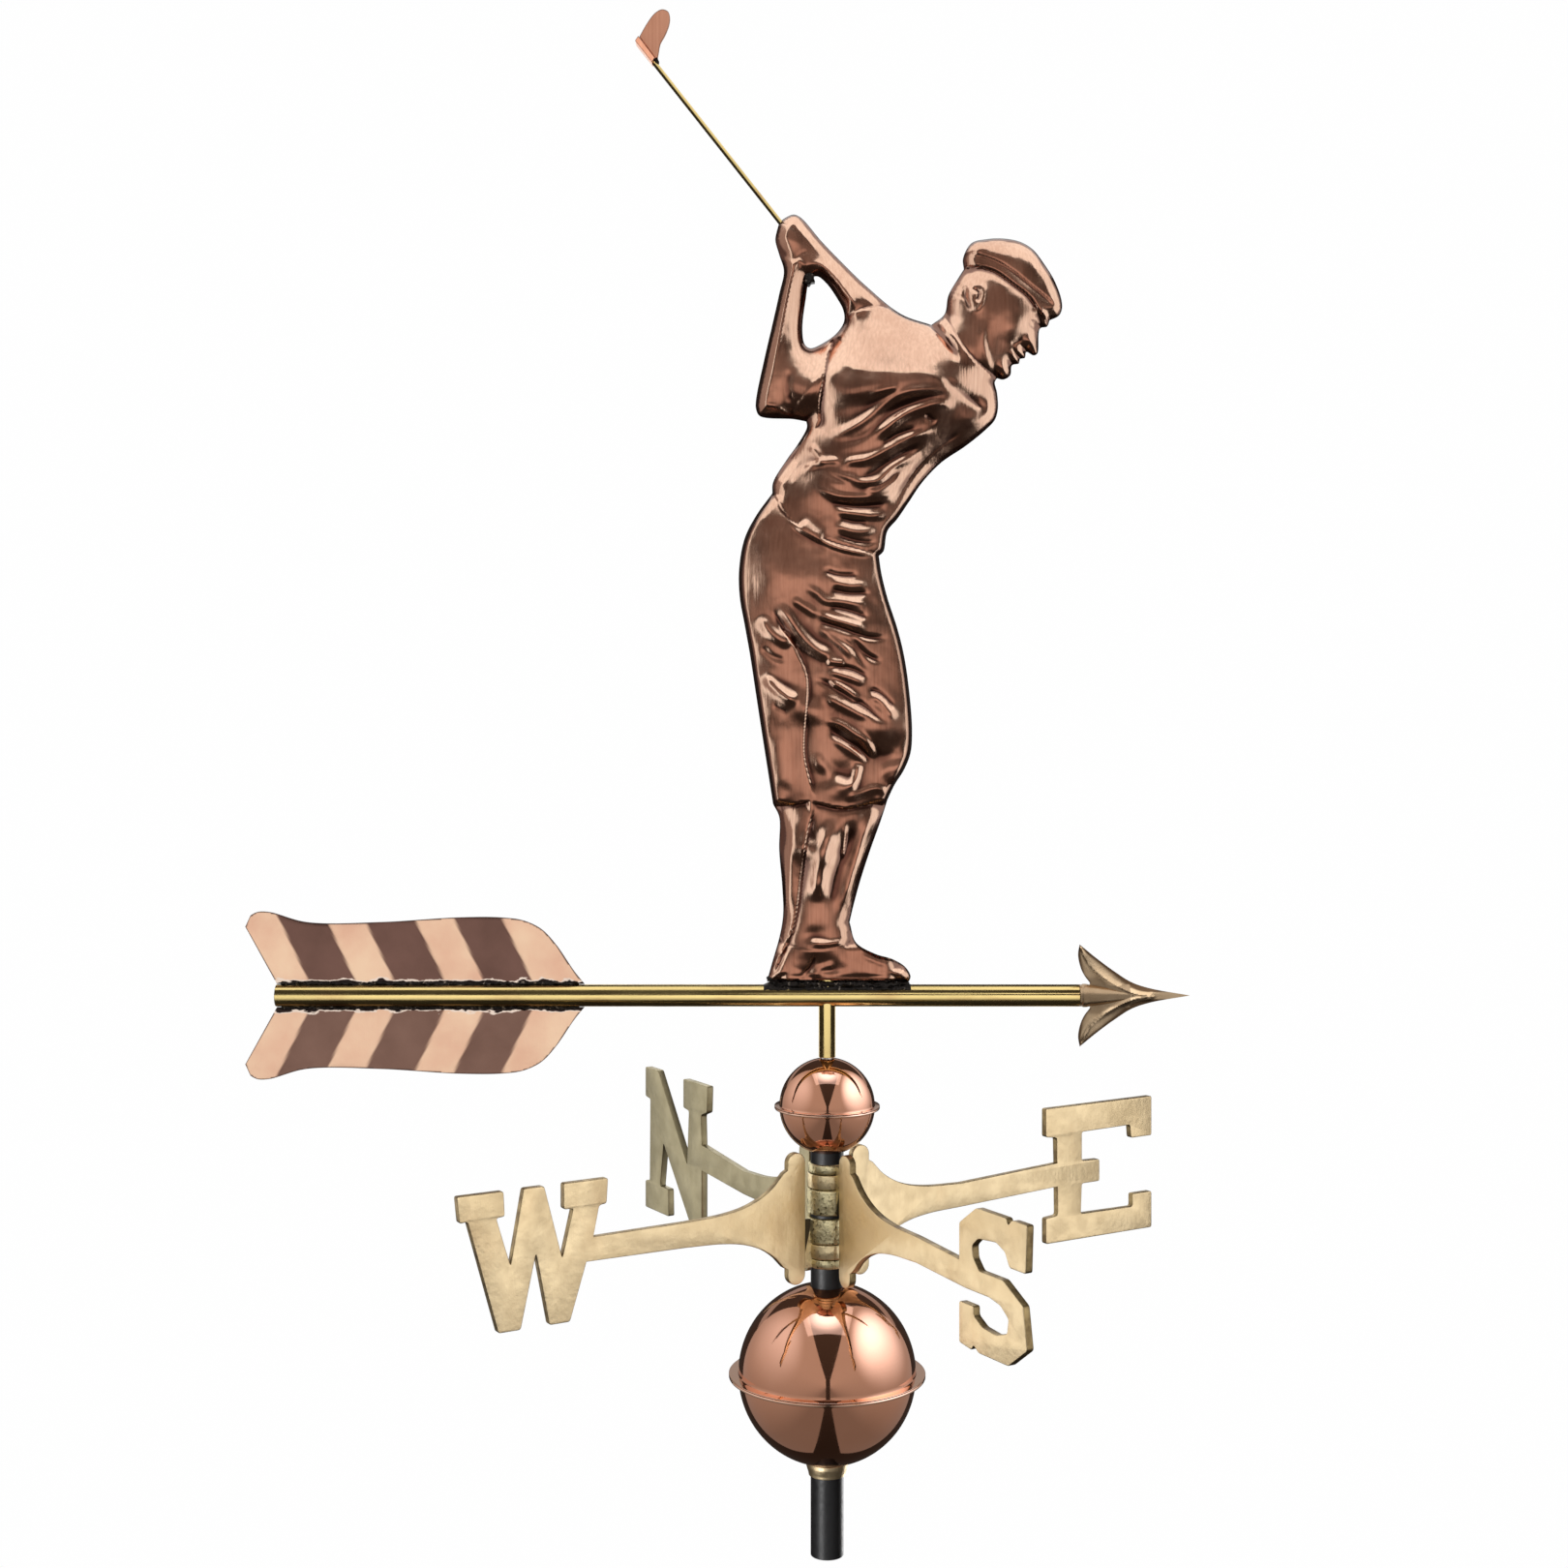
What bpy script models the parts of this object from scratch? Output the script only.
"""Golfer weather vane: a copper golfer on a brass arrow that turns on a steel
mast, above two copper globes and a set of brass compass directionals.

Frame: the origin is the centre of the mast's flat lower end, +Z runs up the
mast, and +X is the way the arrow points at rest. Lengths are in metres."""

import math

import bmesh
import bpy
from mathutils import Vector
from mathutils.geometry import delaunay_2d_cdt

MM = 0.001
GAP = 0.3 * MM

# Heights above the mast's foot
MAST_TOP = 283 * MM
LARGE_GLOBE_HEIGHT = 117.5 * MM
COMPASS_HEIGHT = 220.5 * MM
SMALL_GLOBE_HEIGHT = 290.3 * MM
ARROW_HEIGHT = 361.7 * MM

# Mast, spindle and sleeve
MAST_RADIUS = 10.65 * MM
MAST_CLEARANCE = 0.4 * MM
SPINDLE_RADIUS = 4.0 * MM
SPINDLE_SOCKET_DEPTH = 60 * MM
SPINDLE_TOP = 440 * MM
BALL_RADIUS = 3.0 * MM
SLEEVE_RADIUS = 5.5 * MM
SLEEVE_BORE = 4.5 * MM
SLEEVE_BOTTOM = 322 * MM
SLEEVE_TOP = 460 * MM
PLUG_RADIUS = 4.2 * MM
PLUG_LENGTH = 9 * MM
COLLAR_RADIUS = 13.5 * MM
COLLAR_FOOT_RADIUS = 11.9 * MM
COLLAR_HEIGHT = 8.6 * MM

# Globes: each is two spun copper halves that meet in a lipped seam
LARGE_GLOBE_RADIUS = 57.5 * MM
LARGE_LIP_RADIUS = 63.6 * MM
SMALL_GLOBE_RADIUS = 30.9 * MM
SMALL_LIP_RADIUS = 34.1 * MM
GLOBE_WALL = 0.8 * MM
UPPER_LIP = 1.1 * MM
LOWER_LIP = 2.6 * MM
SMALL_GLOBE_LIP_SHARE = 0.69
WALL_PIECES = 5
GLOBE_STEPS = 28

# Compass directionals
COMPASS_HEADING = math.radians(31)
HUB_BORE = MAST_RADIUS + MAST_CLEARANCE
HUB_HALF_GAP = 1.1 * MM
HUB_RINGS = ((16.4 * MM, 13.4 * MM), (9.8 * MM, 12.9 * MM), (6.2 * MM, 12.3 * MM))
HUB_CHAMFER = 0.6 * MM
SCREW_RADIUS = 2.0 * MM
SCREW_HEIGHT_IN_HUB = 5.2 * MM
PLATE_THICKNESS = 5.0 * MM
FOOT_INNER = 18 * MM
FOOT_OUTER = 31 * MM
FOOT_HALF_HEIGHT = 42.3 * MM
ARM_HALF_HEIGHT = 7.6 * MM
WEB_REACH = 11.9 * MM

# Arrow
TUBE_RADIUS = 7.15 * MM
TUBE_BORE = 5.95 * MM
TUBE_TAIL = -356.5 * MM
TUBE_HEAD = 163 * MM
FEATHER_THICKNESS = 1.2 * MM
HEAD_THICKNESS = 5.0 * MM
SOCKET_TIP = 212 * MM
SPIGOT_RADIUS = 5.6 * MM
SPIGOT_LENGTH = 13 * MM
SADDLE_THICKNESS = 1.3 * MM
SADDLE_ANGLE = math.radians(65)

# Golfer: two stamped copper halves that meet in the vertical plane of the arrow
COPPER_SHEET = 0.8 * MM
SHEET_SPACING = 13 * MM
OUTLINE_SPACING = 7 * MM
SEAM_OVERRUN = 1.5 * MM
SEAM_TRIM_DEPTH = 10 * MM
SEAM_TRIM_REACH = 800 * MM
NARROW_LIMB = 2.5 * MM
SHAFT_RADIUS = 1.6 * MM
SHAFT_GRIP = Vector((-22.5, 0, 490.5)) * MM
SHAFT_TIP = Vector((-110.6, 0, 602.0)) * MM
BLADE_THICKNESS = 3.2 * MM
SOLE_WIDTH = 12 * MM
SOLE_THICKNESS = 2.4 * MM

COLLECTION = "weather_vane"
CUTTERS = "cutters"


# Materials ------------------------------------------------------------------

def finish(name, colour, metallic, roughness):
    made = bpy.data.materials.new(name)
    made.use_nodes = True
    shader = made.node_tree.nodes["Principled BSDF"]
    shader.inputs["Base Color"].default_value = (*colour, 1)
    shader.inputs["Metallic"].default_value = metallic
    shader.inputs["Roughness"].default_value = roughness
    made.diffuse_color = (*colour, 1)
    return made


# Helpers --------------------------------------------------------------------

def clear_scene():
    for obj in list(bpy.data.objects):
        bpy.data.objects.remove(obj)
    for name in (COLLECTION, CUTTERS):
        made = bpy.data.collections.new(name)
        bpy.context.scene.collection.children.link(made)


def body_axis(name, height, heading=0.0):
    """The empty on a body's turning axis, which carries the body's pieces."""
    axis = bpy.data.objects.new(name, None)
    axis.location = (0, 0, height)
    axis.rotation_euler = (0, 0, heading)
    bpy.data.collections[COLLECTION].objects.link(axis)
    return axis


def place(obj, material, axis):
    bpy.data.collections[COLLECTION].objects.link(obj)
    obj.data.materials.append(material)
    obj.parent = axis
    return obj


def as_cutter(obj, axis):
    bpy.data.collections[CUTTERS].objects.link(obj)
    obj.parent = axis
    obj.hide_render = True
    obj.display_type = "WIRE"
    return obj


def boolean(obj, other, operation):
    modifier = obj.modifiers.new(f"{operation.lower()}_{other.name}", "BOOLEAN")
    modifier.operation = operation
    modifier.object = other
    modifier.solver = "EXACT"


def turned(name, profile, steps=32):
    """A profile of (radius, height) points, outer side from top to bottom, turned round Z.
    A profile that starts on the axis is open there, and any other is a closed ring."""
    ring = profile[0][0] > 0
    count = len(profile)
    edges = [(i, (i + 1) % count) for i in range(count if ring else count - 1)]
    mesh = bpy.data.meshes.new(name)
    mesh.from_pydata([(r, 0, z) for r, z in profile], edges, [])
    obj = bpy.data.objects.new(name, mesh)
    screw = obj.modifiers.new("turn", "SCREW")
    screw.steps = screw.render_steps = steps
    screw.use_merge_vertices = True
    screw.merge_threshold = 0.00001
    screw.use_smooth_shade = True
    return obj


def rod(name, radius, low, high, steps=24):
    return turned(name, [(0, high), (radius, high), (radius, low), (0, low)], steps)


def tube(name, radius, bore, low, high, steps=32):
    profile = [(bore, high), (radius, high), (radius, low), (bore, low)]
    return turned(name, profile, steps)


def arc(radius, height, start, end, pieces):
    """Profile points on a circle about (0, height), from one polar angle to another."""
    angles = [start + (end - start) * i / pieces for i in range(pieces + 1)]
    return [(radius * math.sin(a), height + radius * math.cos(a)) for a in angles]


def mesh_of(obj):
    """A curve's mesh as its own object, with the caps welded to the sides."""
    graph = bpy.context.evaluated_depsgraph_get()
    mesh = bpy.data.meshes.new_from_object(obj.evaluated_get(graph))
    welder = bmesh.new()
    welder.from_mesh(mesh)
    bmesh.ops.remove_doubles(welder, verts=welder.verts, dist=0.00001)
    bmesh.ops.recalc_face_normals(welder, faces=welder.faces)
    welder.to_mesh(mesh)
    welder.free()
    made = bpy.data.objects.new(obj.name, mesh)
    made.matrix_world = obj.matrix_world
    bpy.data.objects.remove(obj)
    made.name = mesh.name = made.name.split(".")[0]
    return made


def flat(name, outline, thickness):
    """A flat outline of (x, z) points, stood upright in the XZ plane and given a thickness."""
    curve = bpy.data.curves.new(name, "CURVE")
    curve.dimensions = "2D"
    curve.fill_mode = "BOTH"
    curve.extrude = thickness / 2
    spline = curve.splines.new("POLY")
    spline.points.add(len(outline) - 1)
    for point, (x, z) in zip(spline.points, outline):
        point.co = (x, z, 0, 1)
    spline.use_cyclic_u = True
    obj = bpy.data.objects.new(name, curve)
    obj.rotation_euler = (math.radians(90), 0, 0)
    bpy.data.collections[CUTTERS].objects.link(obj)
    bpy.context.view_layer.update()
    return mesh_of(obj)


def box(name, low, high):
    mesh = bpy.data.meshes.new(name)
    maker = bmesh.new()
    bmesh.ops.create_cube(maker, size=1)
    size = Vector(high) - Vector(low)
    middle = (Vector(high) + Vector(low)) / 2
    for vert in maker.verts:
        vert.co = Vector(a * b for a, b in zip(vert.co, size)) + middle
    maker.to_mesh(mesh)
    maker.free()
    return bpy.data.objects.new(name, mesh)


def smooth_run(points, spacing, sharp_ends=True):
    """Points about `spacing` apart on a centripetal Catmull-Rom curve through `points`."""
    points = [Vector(p) for p in points]
    padded = [2 * points[0] - points[1], *points, 2 * points[-1] - points[-2]]
    if not sharp_ends:
        padded = [points[-1], *points, points[0], points[1]]
    run = []
    for a, b, c, d in zip(padded, padded[1:], padded[2:], padded[3:]):
        pieces = max(1, round((c - b).length / spacing))
        for i in range(pieces):
            run.append(catmull_point(a, b, c, d, i / pieces))
    return run + ([points[-1]] if sharp_ends else [])


def catmull_point(a, b, c, d, share):
    t1 = (b - a).length ** 0.5
    t2 = t1 + (c - b).length ** 0.5
    t3 = t2 + (d - c).length ** 0.5
    t = t1 + share * (t2 - t1)
    ab = a.lerp(b, t / t1)
    bc = b.lerp(c, share)
    cd = c.lerp(d, (t - t2) / (t3 - t2))
    abc = ab.lerp(bc, t / t2)
    bcd = bc.lerp(cd, (t - t1) / (t3 - t1))
    return abc.lerp(bcd, share)


# Mast, globes and collar ----------------------------------------------------

def build_mast(axis, steel, brass):
    socket = SPINDLE_RADIUS + GAP
    floor = MAST_TOP - SPINDLE_SOCKET_DEPTH
    chamfer = 1 * MM
    profile = [
        (0, floor),
        (socket, floor),
        (socket, MAST_TOP),
        (MAST_RADIUS - chamfer, MAST_TOP),
        (MAST_RADIUS, MAST_TOP - chamfer),
        (MAST_RADIUS, 0),
        (0, 0),
    ]
    place(turned("mast", profile), steel["mast"], axis)
    pin = rod("spindle_pin", SPINDLE_RADIUS, floor + GAP, SPINDLE_TOP)
    place(pin, steel["spindle"], axis)
    ball_height = SPINDLE_TOP + GAP + BALL_RADIUS
    ball_profile = arc(BALL_RADIUS, ball_height, 0, math.pi, 6)
    ball_profile[0] = (0, ball_height + BALL_RADIUS)
    ball_profile[-1] = (0, ball_height - BALL_RADIUS)
    place(turned("bearing_ball", ball_profile, 12), steel["spindle"], axis)

    top = LARGE_GLOBE_HEIGHT - LARGE_GLOBE_RADIUS + 0.6 * MM
    waist = top - COLLAR_HEIGHT * 0.35
    collar = turned("lower_collar", [
        (HUB_BORE, top),
        (COLLAR_RADIUS, top),
        (COLLAR_RADIUS - 0.1 * MM, waist),
        (COLLAR_FOOT_RADIUS + 0.6 * MM, top - COLLAR_HEIGHT * 0.8),
        (COLLAR_FOOT_RADIUS, top - COLLAR_HEIGHT),
        (HUB_BORE, top - COLLAR_HEIGHT),
    ])
    place(collar, brass, axis)
    screw_height = top - COLLAR_HEIGHT * 0.4
    add_set_screw("lower_collar_set_screw", collar, axis, screw_height, math.radians(90), steel["spindle"])


def add_set_screw(name, holder, axis, height, direction, material):
    """A radial grub screw and its hole, in a ring round the mast."""
    screw = rod(name, SCREW_RADIUS, HUB_BORE + 0.05 * MM, COLLAR_RADIUS - 0.7 * MM, 16)
    hole = rod(f"{name}_hole", SCREW_RADIUS + GAP, HUB_BORE - 2 * MM, COLLAR_RADIUS + 3 * MM, 16)
    for obj in (screw, hole):
        obj.location = (0, 0, height)
        obj.rotation_euler = (0, math.radians(90), direction)
    boolean(holder, as_cutter(hole, axis), "DIFFERENCE")
    place(screw, material, axis)


def globe_half(name, radius, lip_radius, lip, height, hole, upper):
    """A spun half globe: a thin wall from its hole to the seam, turned out there into a lip."""
    sign = 1 if upper else -1
    inner = radius - GLOBE_WALL
    hole_angle = math.asin(hole / radius)
    seam_angle = math.acos(lip / radius)
    outer_wall = arc(radius, 0, hole_angle, seam_angle, WALL_PIECES)
    inner_seam_angle = math.acos(GAP / inner)
    inner_wall = arc(inner, 0, inner_seam_angle, math.asin(hole / inner), WALL_PIECES)
    rounding = lip * 0.3
    profile = [
        *outer_wall,
        (lip_radius - rounding, lip),
        (lip_radius, lip - rounding),
        (lip_radius, GAP / 2 + rounding),
        (lip_radius - rounding, GAP / 2),
        (inner + 0.05 * MM, GAP / 2),
        *inner_wall,
    ]
    profile = [(r, height + sign * z) for r, z in profile]
    return turned(name, profile if upper else profile[::-1], GLOBE_STEPS)


def build_globes(axis, copper):
    mast_hole = MAST_RADIUS + MAST_CLEARANCE
    spindle_hole = SPINDLE_RADIUS + MAST_CLEARANCE
    for size, radius, lip_radius, lip_share, height, top_hole in (
        ("large", LARGE_GLOBE_RADIUS, LARGE_LIP_RADIUS, 1, LARGE_GLOBE_HEIGHT, mast_hole),
        ("small", SMALL_GLOBE_RADIUS, SMALL_LIP_RADIUS, SMALL_GLOBE_LIP_SHARE, SMALL_GLOBE_HEIGHT,
         spindle_hole),
    ):
        for half, lip, hole in (("upper", UPPER_LIP, top_hole), ("lower", LOWER_LIP, mast_hole)):
            name = f"{size}_globe_{half}_half"
            upper = half == "upper"
            made = globe_half(name, radius, lip_radius, lip * lip_share, height, hole, upper)
            place(made, copper, axis)


# Compass directionals -------------------------------------------------------

# Each letter is drawn in shares of its width and height, from the lower left corner.
# The run starts above the arm's root and goes round the letter to just below it.
# LETTER_SIZES, further down, gives its place and size.
LETTER_W = [
    (0.90, 0.587), (0.94, 0.81), (0.99, 0.816), (1, 1), (0.698, 1), (0.698, 0.813),
    (0.762, 0.81), (0.69, 0.465), (0.569, 1), (0.434, 1), (0.348, 0.465), (0.255, 0.815),
    (0.31, 0.82), (0.302, 1), (0, 1), (0.017, 0.81), (0.069, 0.816), (0.267, 0),
    (0.414, 0), (0.514, 0.525), (0.603, 0), (0.741, 0), (0.853, 0.413),
]
LETTER_E = [
    (0.105, 0.587), (0.10, 0.775), (0, 0.79), (0, 1), (1, 1), (1, 0.70), (0.80, 0.70),
    (0.79, 0.80), (0.335, 0.795), (0.335, 0.58), (0.50, 0.575), (0.50, 0.41),
    (0.335, 0.41), (0.325, 0.186), (0.815, 0.18), (0.815, 0.276), (1, 0.275), (1, 0),
    (0, 0), (0, 0.19), (0.11, 0.20), (0.107, 0.413),
]
LETTER_N = [
    (0.91, 0.587), (0.90, 0.79), (0.99, 0.82), (1, 1), (0.62, 1), (0.62, 0.80),
    (0.707, 0.79), (0.68, 0.416), (0.21, 1), (0, 1), (0, 0.79), (0.08, 0.78),
    (0.07, 0.20), (0, 0.19), (0, 0), (0.385, 0), (0.377, 0.19), (0.243, 0.19),
    (0.30, 0.50), (0.74, 0), (0.908, 0), (0.91, 0.413),
]
LETTER_S = [
    (0, 0.60), (0, 0.86), (0.255, 1), (0.70, 1), (0.72, 0.955), (0.78, 1), (1, 1),
    (0.98, 0.67), (0.745, 0.67), (0.68, 0.765), (0.55, 0.81), (0.29, 0.79), (0.20, 0.73),
    (0.21, 0.645), (0.30, 0.57), (0.65, 0.57), (0.94, 0.445), (1, 0.155), (0.73, 0),
    (0.29, 0), (0.22, 0.04), (0.19, 0), (0, 0.02), (0, 0.31), (0.22, 0.31),
    (0.22, 0.245), (0.35, 0.19), (0.55, 0.175), (0.71, 0.215), (0.73, 0.32),
    (0.61, 0.39), (0.45, 0.415), (0.10, 0.415),
]
# Where each letter starts along its arm, its width and height, and how far its middle is above
# the arm's
LETTER_SIZES = {
    "north": (155 * MM, 95 * MM, 104 * MM, 6 * MM),
    "east": (176 * MM, 94 * MM, 93 * MM, 4 * MM),
    "south": (150 * MM, 66 * MM, 84 * MM, -4 * MM),
    "west": (159 * MM, 99 * MM, 84 * MM, 0),
}


def arm_root(web_low, web_high):
    """One arm's inner end for the right side: lower edge, foot and upper edge, from the
    letter inwards and back. The web ties the foot to its own hub, between two heights."""
    foot_round = (FOOT_OUTER - FOOT_INNER) / 2
    foot_middle = (FOOT_OUTER + FOOT_INNER) / 2
    flare_height = FOOT_HALF_HEIGHT - foot_round - 4 * MM
    flare = [
        (105 * MM, ARM_HALF_HEIGHT + 0.3 * MM),
        (78 * MM, ARM_HALF_HEIGHT + 1.6 * MM),
        (62 * MM, ARM_HALF_HEIGHT + 4.4 * MM),
        (49 * MM, ARM_HALF_HEIGHT + 9.6 * MM),
        (40 * MM, ARM_HALF_HEIGHT + 16 * MM),
        (34 * MM, ARM_HALF_HEIGHT + 22.5 * MM),
        (FOOT_OUTER, flare_height),
    ]
    cap_height = FOOT_HALF_HEIGHT - foot_round
    angles = [math.radians(a) for a in range(0, 181, 30)]
    cap = [
        (foot_middle + foot_round * math.cos(a), cap_height + foot_round * math.sin(a))
        for a in angles
    ]
    upper = flare + cap
    lower = [(x, -z) for x, z in upper]
    web = [
        (FOOT_INNER, web_low), (WEB_REACH, web_low),
        (WEB_REACH, web_high), (FOOT_INNER, web_high),
    ]
    return lower + web + upper[::-1]


def directional_side(name, label, letter, side, web):
    """A letter with its arm and foot. Side 1 is the arm along +X and side -1 the one along -X."""
    inner, width, height, lift = LETTER_SIZES[label]
    left = inner if side > 0 else -inner - width
    run = [(left + u * width, (v - 0.5) * height + lift) for u, v in letter]
    root = arm_root(*web)
    if side < 0:
        root = [(-x, z) for x, z in root]
    return flat(name, run + root, PLATE_THICKNESS)


def build_directional(name, axis, letters, hub_side, brass, steel, screw_direction):
    """A pair of letters cast in one piece with the hub that clamps it to the mast."""
    levels = [HUB_HALF_GAP]
    for height, _ in HUB_RINGS:
        levels.append(levels[-1] + height)
    profile = [(HUB_BORE, levels[-1])]
    for (low, high), (_, radius) in list(zip(zip(levels, levels[1:]), HUB_RINGS))[::-1]:
        profile += [
            (radius - HUB_CHAMFER, high),
            (radius, high - HUB_CHAMFER),
            (radius, low + HUB_CHAMFER),
            (radius - HUB_CHAMFER, low),
        ]
    profile.append((HUB_BORE, levels[0]))
    profile = [(r, hub_side * z) for r, z in profile]
    hub = turned(name, profile if hub_side > 0 else profile[::-1])
    web = sorted(hub_side * z for z in (levels[0] + HUB_CHAMFER, levels[-1] - HUB_CHAMFER))
    for label, letter, side in letters:
        arm = directional_side(f"{name}_{label}", label, letter, side, web)
        boolean(hub, as_cutter(arm, axis), "UNION")
    screw_name = f"{name.removeprefix('directional_')}_set_screw"
    height = hub_side * (levels[0] + SCREW_HEIGHT_IN_HUB)
    add_set_screw(screw_name, hub, axis, height, screw_direction - axis.rotation_euler.z, steel)
    place(hub, brass, axis)


# Arrow ----------------------------------------------------------------------

# Heights in these outlines are above the arrow tube's centre line.
FEATHER_TIP = [(-356, 7.5), (-376.5, 44.5), (-374.5, 51), (-369, 54), (-361, 54)]
FEATHER_EDGE = [(-361, 54), (-337, 47.5), (-289, 47.5), (-239.5, 50.5), (-211, 50.5)]
FEATHER_FRONT = [(-211, 50.5), (-196.5, 48.5), (-185, 43), (-175.5, 33), (-163.5, 15.5), (-157, 7.5)]

HEAD_OUTER = [(163.5, 33), (174.5, 24), (186.5, 15.2), (197, 8.6), (209, 4.6), (234.6, 0)]
HEAD_REAR = [(170, 8.4), (166.5, 13), (164, 18.5), (162.5, 26.5), (163.5, 33)]


def millimetres(points):
    return [(x * MM, z * MM) for x, z in points]


def along_x(obj):
    """Lays a turned piece down, so that its own Z runs along the arrow."""
    obj.rotation_euler = (0, math.radians(90), 0)
    return obj


def build_arrow(axis, brass, bronze, copper, solder):
    sleeve_hole = as_cutter(rod("sleeve_hole", SLEEVE_RADIUS + GAP, -0.06, 0.14, 32), axis)

    shaft = along_x(tube("arrow_tube", TUBE_RADIUS, TUBE_BORE, TUBE_TAIL, TUBE_HEAD))
    boolean(shaft, sleeve_hole, "DIFFERENCE")
    place(shaft, brass, axis)

    upper = millimetres(FEATHER_TIP[:-1] + FEATHER_EDGE[:-1] + FEATHER_FRONT)
    lower = [(x, -z) for x, z in upper]
    place(flat("tail_feather_upper", upper, FEATHER_THICKNESS), copper, axis)
    place(flat("tail_feather_lower", lower, FEATHER_THICKNESS), copper, axis)

    outer = [tuple(p) for p in smooth_run(millimetres(HEAD_OUTER), 8 * MM)]
    half = millimetres(HEAD_REAR)[:-1] + outer
    barbs = flat("arrowhead_barbs", half + [(x, -z) for x, z in half[-2::-1]], HEAD_THICKNESS)
    head_profile = [
        (0, SOCKET_TIP),
        (1.6 * MM, SOCKET_TIP),
        (TUBE_RADIUS, TUBE_HEAD + 6 * MM),
        (TUBE_RADIUS, TUBE_HEAD + GAP),
        (SPIGOT_RADIUS, TUBE_HEAD + GAP),
        (SPIGOT_RADIUS, TUBE_HEAD - SPIGOT_LENGTH),
        (0, TUBE_HEAD - SPIGOT_LENGTH),
    ]
    head = along_x(turned("arrowhead", head_profile, 24))
    boolean(head, as_cutter(barbs, axis), "UNION")
    place(head, bronze, axis)

    place(solder_saddle(sleeve_hole, axis), solder, axis)


def solder_saddle(sleeve_hole, axis):
    """The bed of solder on top of the tube that holds the golfer's soles."""
    inner = TUBE_RADIUS + GAP
    outer = inner + SADDLE_THICKNESS
    angles = [SADDLE_ANGLE * (1 - i / 4) for i in range(9)]
    section = [(outer * math.sin(a), outer * math.cos(a)) for a in angles]
    section += [(inner * math.sin(a), inner * math.cos(a)) for a in angles[::-1]]
    length = SOLE_TOE - SOLE_HEEL
    saddle = flat("sole_solder_saddle", section, length)
    saddle.data.transform(saddle.matrix_world)
    saddle.rotation_euler = (0, 0, math.radians(90))
    saddle.location = ((SOLE_TOE + SOLE_HEEL) / 2, 0, 0)
    boolean(saddle, sleeve_hole, "DIFFERENCE")
    return saddle


# Golfer ---------------------------------------------------------------------

# The figure's outline in millimetres: along the arrow, and above the tube's centre line.
# Each run is smooth, and the outline has a corner where two runs meet.
SOLE_HEIGHT = 9.1
SOLE_HEEL = -39 * MM
SOLE_TOE = 53 * MM
HANDS_AND_ARM = [
    (-32.5, 495), (-30.5, 500.5), (-26, 504), (-21.5, 505.5), (-17, 503.5), (-3.5, 488),
    (10.5, 473.5), (25.5, 459), (48, 441), (67.5, 434),
]
NAPE = [(67.5, 434), (76, 441), (78.5, 453), (85, 464.5), (88.5, 470)]
CAP = [
    (88.5, 470), (88, 477), (93.5, 487), (103, 489.5), (113.5, 490), (124.5, 488),
    (133, 483), (140.5, 473.5), (147, 463), (151.5, 451), (152, 444.5), (150, 440), (144, 437),
]
CHEST = [
    (110, 399.5), (108.5, 397), (110, 390), (110.5, 379.5), (108.5, 372.5), (103, 366.5),
    (89.5, 355.5), (74, 345), (61.5, 332), (53, 319.5), (45.5, 308.5), (39, 300.5),
    (36.5, 287.5), (33.5, 284.5),
]
FRONT_LEG = [
    (33.5, 284.5), (35, 274), (39, 257.5), (45.5, 237.5), (50, 219), (53.5, 193.5),
    (55, 171), (54, 157), (50, 146.5), (43.5, 136), (39, 126.5),
]
FRONT_SHIN = [(39, 126.5), (35, 114), (28, 94.5), (21.5, 74.5), (17, 58), (14.5, 47.5)]
SHOE = [
    (14.5, 47.5), (19, 33.5), (31.5, 26), (43.5, 22.5), (50.5, 18.5), (54, 12.5), (53, SOLE_HEIGHT),
]
HEEL = [
    (-39, SOLE_HEIGHT), (-35.5, 21.5), (-31, 37), (-28.5, 52), (-29, 70), (-31, 94.5),
    (-31, 115.5), (-35, 124),
]
SEAT = [
    (-35, 124), (-39, 149.5), (-43, 175), (-46.5, 198), (-50, 221), (-53.5, 240.5),
    (-56.5, 257.5), (-57, 275.5), (-53.5, 295.5), (-46, 310.5), (-35.5, 325),
]
BACK = [(-35.5, 325), (-35, 332), (-26, 347), (-18.5, 357.5), (-13, 368), (-13.5, 371.5)]
ELBOW = [
    (-13.5, 371.5), (-21.5, 373), (-43.5, 375), (-46, 379.5), (-46, 385.5), (-40.5, 412.5),
    (-35.5, 434), (-31, 454), (-28, 469), (-31, 479.5), (-33.5, 489), (-32.5, 495),
]
GAP_BETWEEN_ARMS = [
    (-11, 463.5), (-6.5, 465.5), (-0.5, 461), (6, 452), (10.5, 443.5), (11, 436.5), (7, 429.5),
    (-0.5, 423.5), (-11, 419), (-14.5, 421.5), (-16, 431), (-14, 449.5),
]

# A plain face in shares of its height: along from the brow to the chin, and outwards.
# The brow's third and the nose's third end at the nose's base, halfway down.
FACE_SHARES = [
    (0.08, 0.03), (0.16, -0.02), (0.42, 0.17), (0.47, 0.15), (0.50, 0.05), (0.57, 0.09),
    (0.62, 0.05), (0.67, 0.08), (0.75, 0.03), (0.86, 0.10), (0.96, 0.07),
]


def face_profile():
    brow = Vector(CAP[-1])
    chin = Vector(CHEST[0])
    down = chin - brow
    out = Vector((-down.y, down.x))
    return [tuple(brow + along * down + proud * out) for along, proud in FACE_SHARES]


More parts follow.
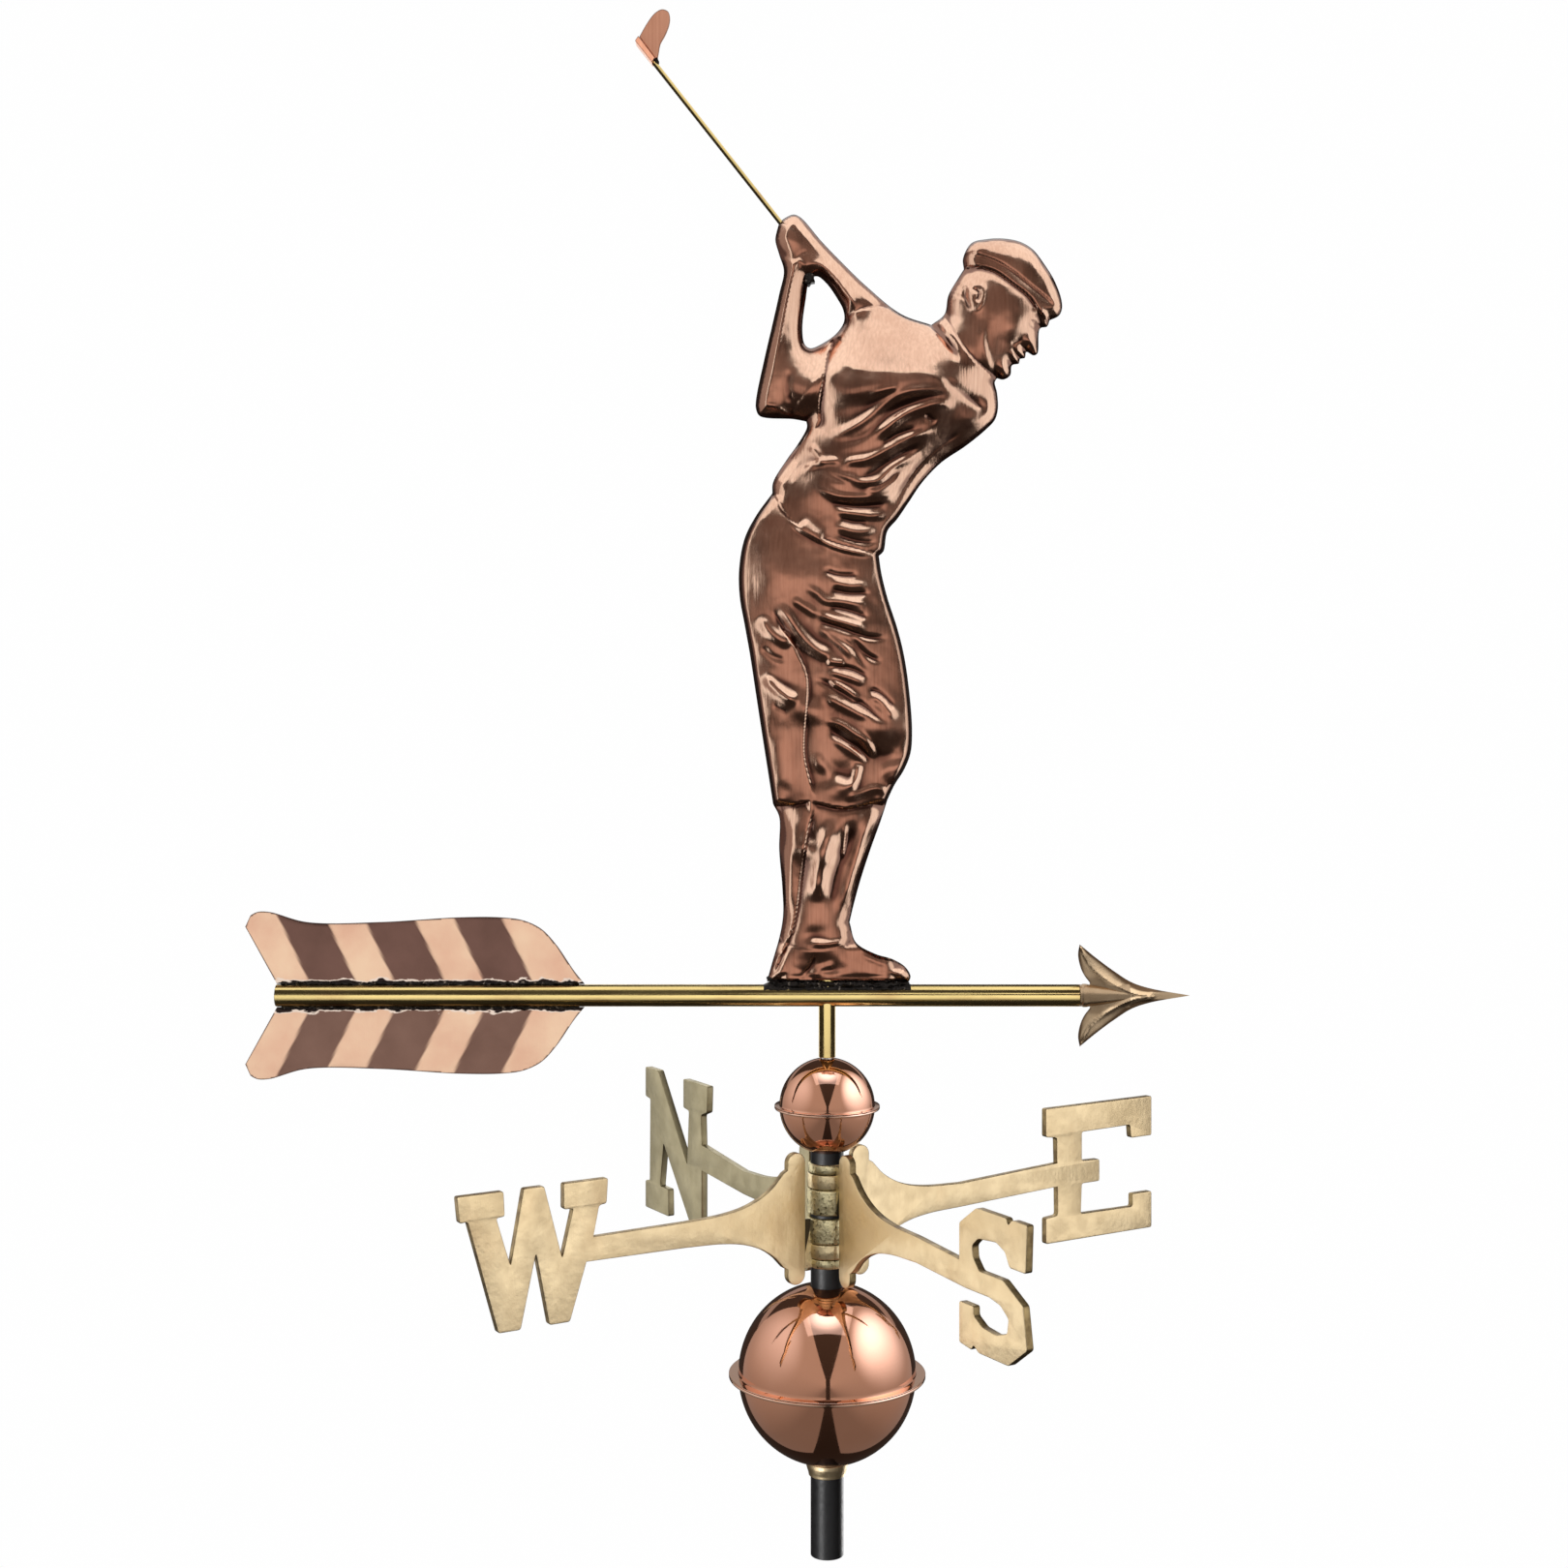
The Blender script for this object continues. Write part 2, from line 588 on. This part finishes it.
def golfer_outline():
    """The outline clockwise from the hands, in metres, as runs joined corner to corner."""
    face = [CAP[-1], *face_profile(), CHEST[0]]
    runs = [
        HANDS_AND_ARM, NAPE, CAP, face, CHEST, FRONT_LEG, FRONT_SHIN, SHOE,
        [SHOE[-1], HEEL[0]], HEEL, SEAT, BACK, ELBOW,
    ]
    outline = []
    for run in runs:
        outline += smooth_run(millimetres(run), OUTLINE_SPACING)[:-1]
    return outline


def inside(point, loop):
    """Whether a point lies inside a closed loop, by counting crossings."""
    within = False
    for a, b in zip(loop, loop[1:] + loop[:1]):
        if (a.y > point.y) != (b.y > point.y):
            crossing = a.x + (point.y - a.y) * (b.x - a.x) / (b.y - a.y)
            within ^= point.x < crossing
    return within


def edge_distance(point, loops):
    best = math.inf
    for loop in loops:
        for a, b in zip(loop, loop[1:] + loop[:1]):
            run = b - a
            share = max(0.0, min(1.0, (point - a).dot(run) / run.length_squared))
            best = min(best, (point - a - share * run).length)
    return best


def relief_depth(distance):
    """How far the copper stands out, this far in from the outline."""
    return 1.9 * MM * (distance / MM) ** 0.68


def triangulated(points, edges, loops):
    """The points joined into triangles that stay inside the outline and out of the hole."""
    outline, hole = loops
    flat_points, _, faces, *_ = delaunay_2d_cdt(points, edges, [], 0, 1e-7)
    kept = []
    for face in faces:
        middle = sum((flat_points[i] for i in face), Vector((0, 0))) / len(face)
        if inside(middle, outline) and not inside(middle, hole):
            kept.append(list(face))
    return flat_points, kept


def relief_sheet():
    """The figure's flat triangulation: points, their depths and the faces."""
    outline = golfer_outline()
    hole = smooth_run(millimetres(GAP_BETWEEN_ARMS), OUTLINE_SPACING, sharp_ends=False)
    loops = [outline, hole]
    points = outline + hole
    edges = []
    start = 0
    for loop in loops:
        edges += [(start + i, start + (i + 1) % len(loop)) for i in range(len(loop))]
        start += len(loop)
    low = Vector((min(p.x for p in outline), min(p.y for p in outline)))
    high = Vector((max(p.x for p in outline), max(p.y for p in outline)))
    row_height = SHEET_SPACING * math.sqrt(3) / 2
    for row in range(int((high.y - low.y) / row_height) + 1):
        shift = SHEET_SPACING / 2 * (row % 2)
        for column in range(int((high.x - low.x) / SHEET_SPACING) + 1):
            spot = low + Vector((shift + column * SHEET_SPACING, row * row_height))
            if not inside(spot, outline) or inside(spot, hole):
                continue
            if edge_distance(spot, loops) > SHEET_SPACING * 0.55:
                points.append(spot)
    rim = len(outline) + len(hole)
    faces = triangulated(points, edges, loops)[1]
    for a, b in sorted({tuple(sorted(pair)) for f in faces for pair in zip(f, f[1:] + f[:1])}):
        spot = (points[a] + points[b]) / 2
        if a < rim and b < rim and edge_distance(spot, loops) > NARROW_LIMB:
            points.append(spot)
    flat_points, kept = triangulated(points, edges, loops)
    depths = [relief_depth(edge_distance(p, loops)) for p in flat_points]
    return flat_points, depths, kept


def golfer_shell(name, sheet, side, seam_trim, sleeve_hole, grip_hole):
    """One stamped half. Side -1 bulges towards -Y and side 1 towards +Y."""
    points, depths, faces = sheet
    mesh = bpy.data.meshes.new(name)
    verts = [(p.x, side * (d - SEAM_OVERRUN), p.y) for p, d in zip(points, depths)]
    mesh.from_pydata(verts, [], faces)
    turner = bmesh.new()
    turner.from_mesh(mesh)
    turner.faces.ensure_lookup_table()
    turner.normal_update()
    if turner.faces[0].normal.y * side < 0:
        bmesh.ops.reverse_faces(turner, faces=turner.faces)
    turner.to_mesh(mesh)
    turner.free()
    mesh.shade_smooth()
    shell = bpy.data.objects.new(name, mesh)
    solidify = shell.modifiers.new("sheet", "SOLIDIFY")
    solidify.thickness = COPPER_SHEET
    solidify.offset = -1
    for cutter in (seam_trim, sleeve_hole, grip_hole):
        boolean(shell, cutter, "DIFFERENCE")
    return shell


def rod_between(name, start, end, radius):
    """A thin round rod between two points: a curve with filled caps."""
    curve = bpy.data.curves.new(name, "CURVE")
    curve.dimensions = "3D"
    curve.bevel_depth = radius
    curve.bevel_resolution = 2
    curve.use_fill_caps = True
    spline = curve.splines.new("POLY")
    spline.points.add(1)
    for point, spot in zip(spline.points, (start, end)):
        point.co = (*spot, 1)
    return bpy.data.objects.new(name, curve)


def build_golfer(axis, copper):
    sheet = relief_sheet()
    sleeve_hole = bpy.data.objects["sleeve_hole"]
    grip = rod_between("grip_hole", SHAFT_GRIP, SHAFT_TIP, SHAFT_RADIUS + GAP)
    bpy.data.collections[CUTTERS].objects.link(grip)
    bpy.context.view_layer.update()
    grip_mesh = mesh_of(grip)
    grip_hole = as_cutter(grip_mesh, axis)
    for name, side in (("golfer_front_shell", -1), ("golfer_back_shell", 1)):
        near, far = sorted((side * GAP / 2, -side * SEAM_TRIM_DEPTH))
        low = (-SEAM_TRIM_REACH, near, -SEAM_TRIM_REACH)
        trim = box(f"{name}_seam_trim", low, (SEAM_TRIM_REACH, far, SEAM_TRIM_REACH))
        seam_trim = as_cutter(trim, axis)
        shell = golfer_shell(name, sheet, side, seam_trim, sleeve_hole, grip_hole)
        place(shell, copper, axis)


# The club's head, seen square to its blade
BLADE = [
    (-121.5, 620.3), (-116.5, 629), (-111.5, 635.5), (-107, 638), (-103, 636.7), (-101.7, 633),
    (-102.2, 628), (-104.7, 621.5), (-107.9, 615.5), (-108.9, 610.2), (-109.6, 606.5), (-111.0, 606.1),
]
CLUB_SOLE = [(-121.9, 619.6), (-124, 616.5), (-113.1, 602.6), (-111.2, 605.6)]


def build_club(axis, brass, copper):
    place(rod_between("club_shaft", SHAFT_GRIP, SHAFT_TIP, SHAFT_RADIUS), brass, axis)
    place(flat("club_head", millimetres(BLADE), BLADE_THICKNESS), copper, axis)
    place(flat("club_sole", millimetres(CLUB_SOLE), SOLE_WIDTH), copper, axis)


# Sleeve ---------------------------------------------------------------------

def build_sleeve(axis, brass, steel):
    sleeve = tube("spindle_sleeve", SLEEVE_RADIUS, SLEEVE_BORE,
                  SLEEVE_BOTTOM - ARROW_HEIGHT, SLEEVE_TOP - ARROW_HEIGHT)
    place(sleeve, brass, axis)
    ball_top = SPINDLE_TOP + GAP + 2 * BALL_RADIUS
    low = ball_top + GAP - ARROW_HEIGHT
    place(rod("sleeve_thrust_plug", PLUG_RADIUS, low, low + PLUG_LENGTH, 16), steel, axis)


def main():
    clear_scene()
    steel = {
        "mast": finish("mast_black", (0.02, 0.02, 0.02), 0.6, 0.4),
        "spindle": finish("plain_steel", (0.55, 0.55, 0.56), 1.0, 0.3),
    }
    brass = finish("brass", (0.75, 0.60, 0.32), 1.0, 0.35)
    tube_brass = finish("tube_brass", (0.62, 0.55, 0.28), 1.0, 0.25)
    bronze = finish("cast_bronze", (0.55, 0.38, 0.22), 1.0, 0.4)
    globe_copper = finish("polished_copper", (0.85, 0.45, 0.33), 1.0, 0.08)
    figure_copper = finish("stamped_copper", (0.62, 0.30, 0.20), 1.0, 0.25)
    feather_copper = finish("feather_copper", (0.86, 0.58, 0.44), 1.0, 0.35)
    solder = finish("dark_solder", (0.06, 0.06, 0.06), 0.8, 0.6)

    mast_axis = body_axis("mast_axis", 0)
    build_mast(mast_axis, steel, brass)
    build_globes(mast_axis, globe_copper)

    behind = math.radians(90)
    east_west = body_axis("east_west_axis", COMPASS_HEIGHT, COMPASS_HEADING)
    build_directional(
        "directional_east_west", east_west, (("east", LETTER_E, 1), ("west", LETTER_W, -1)),
        -1, brass, steel["spindle"], behind - math.radians(12),
    )
    north_south = body_axis("north_south_axis", COMPASS_HEIGHT, COMPASS_HEADING - math.radians(90))
    build_directional(
        "directional_north_south", north_south, (("south", LETTER_S, 1), ("north", LETTER_N, -1)),
        1, brass, steel["spindle"], behind + math.radians(8),
    )

    vane_axis = body_axis("vane_axis", ARROW_HEIGHT)
    build_arrow(vane_axis, tube_brass, bronze, feather_copper, solder)
    build_sleeve(vane_axis, tube_brass, steel["spindle"])
    build_golfer(vane_axis, figure_copper)
    build_club(vane_axis, tube_brass, figure_copper)


main()
